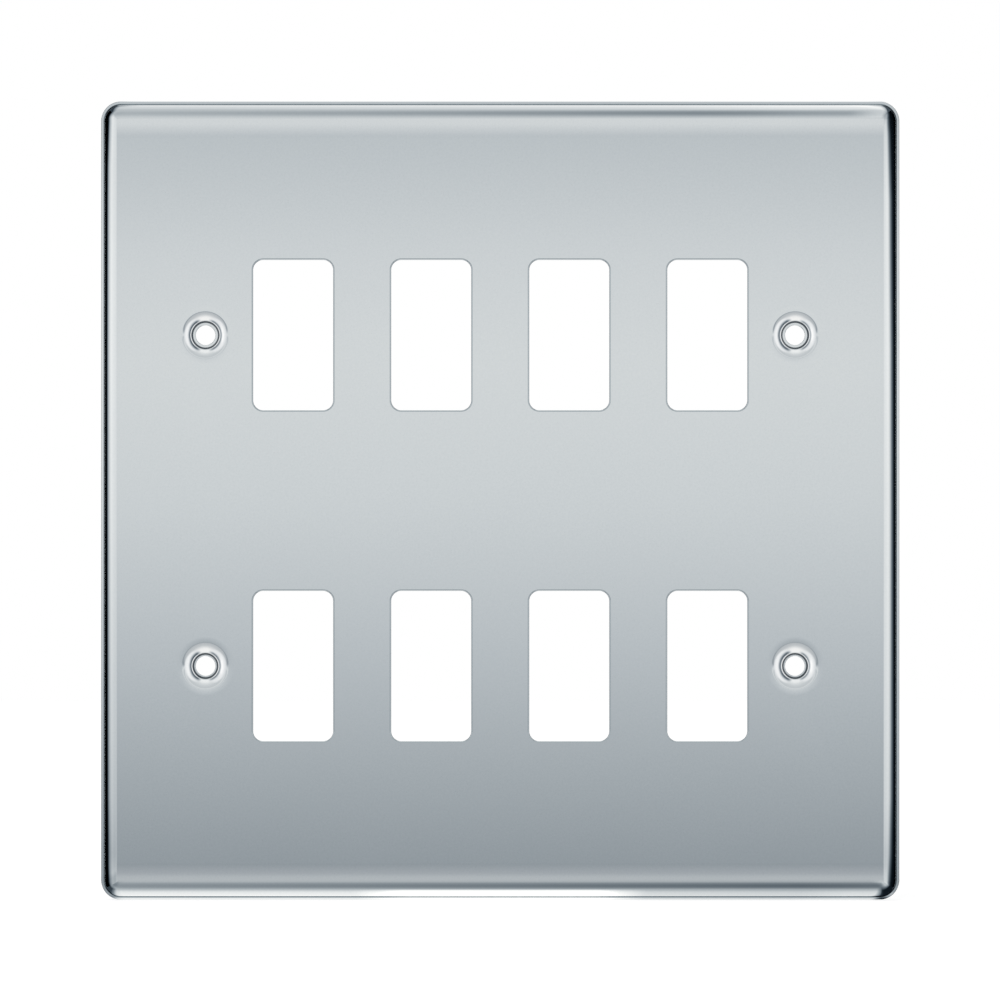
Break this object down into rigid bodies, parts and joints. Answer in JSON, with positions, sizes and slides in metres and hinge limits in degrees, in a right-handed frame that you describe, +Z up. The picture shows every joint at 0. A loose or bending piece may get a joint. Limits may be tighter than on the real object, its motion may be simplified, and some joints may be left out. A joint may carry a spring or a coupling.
{
  "type": "grid switch plate",
  "caption": "Square pressed-metal front plate for grid light switches: rows of rounded rectangular module openings, dimpled screw holes and a drawn edge with a hollow back.",
  "frame": {"origin": "middle of the plate, in the plane of the wall that its rear rim rests on", "axes": "+X to the right seen from the front, +Z up the wall, -Y out of the wall towards the viewer (the face looks along -Y)"},
  "size_m": [0.146, 0.007, 0.146],
  "materials": {
    "polished_chrome": "polished"
  },
  "bodies": {
    "root": {"front_plate": "polished_chrome"}
  },
  "joints": []
}
